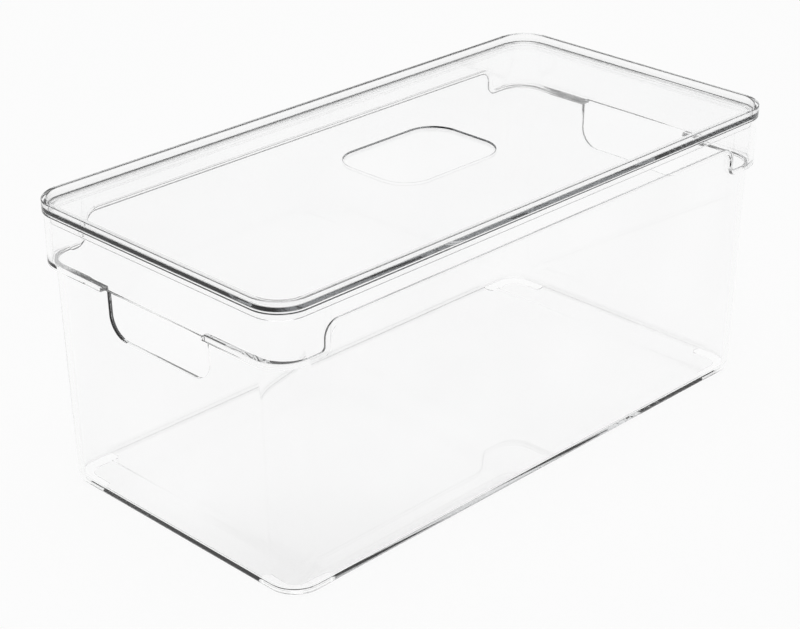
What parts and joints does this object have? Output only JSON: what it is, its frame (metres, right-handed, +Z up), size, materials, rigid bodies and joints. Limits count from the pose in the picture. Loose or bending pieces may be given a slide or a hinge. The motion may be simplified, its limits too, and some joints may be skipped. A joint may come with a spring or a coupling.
{
  "type": "lidded storage box",
  "caption": "Clear rectangular storage box with rounded corners, hand slots in both ends and a lift-off lid with a stacking rim.",
  "frame": {"origin": "centre of the footprint at the level the feet stand on", "axes": "+X along the length, towards one hand slot; +Y across the width; +Z up, the way the lid lifts off"},
  "size_m": [0.38, 0.1892, 0.1653],
  "materials": {
    "clear_bin": "polished clear acrylic moulding",
    "clear_lid": "polished clear acrylic moulding"
  },
  "bodies": {
    "bin": {"bin": "clear_bin"},
    "lid": {"lid": "clear_lid"}
  },
  "joints": [
    {"name": "lid_lift", "type": "slide", "parent": "bin", "child": "lid", "axis": [0, 0, 1], "range_m": [0, 0.2]}
  ]
}
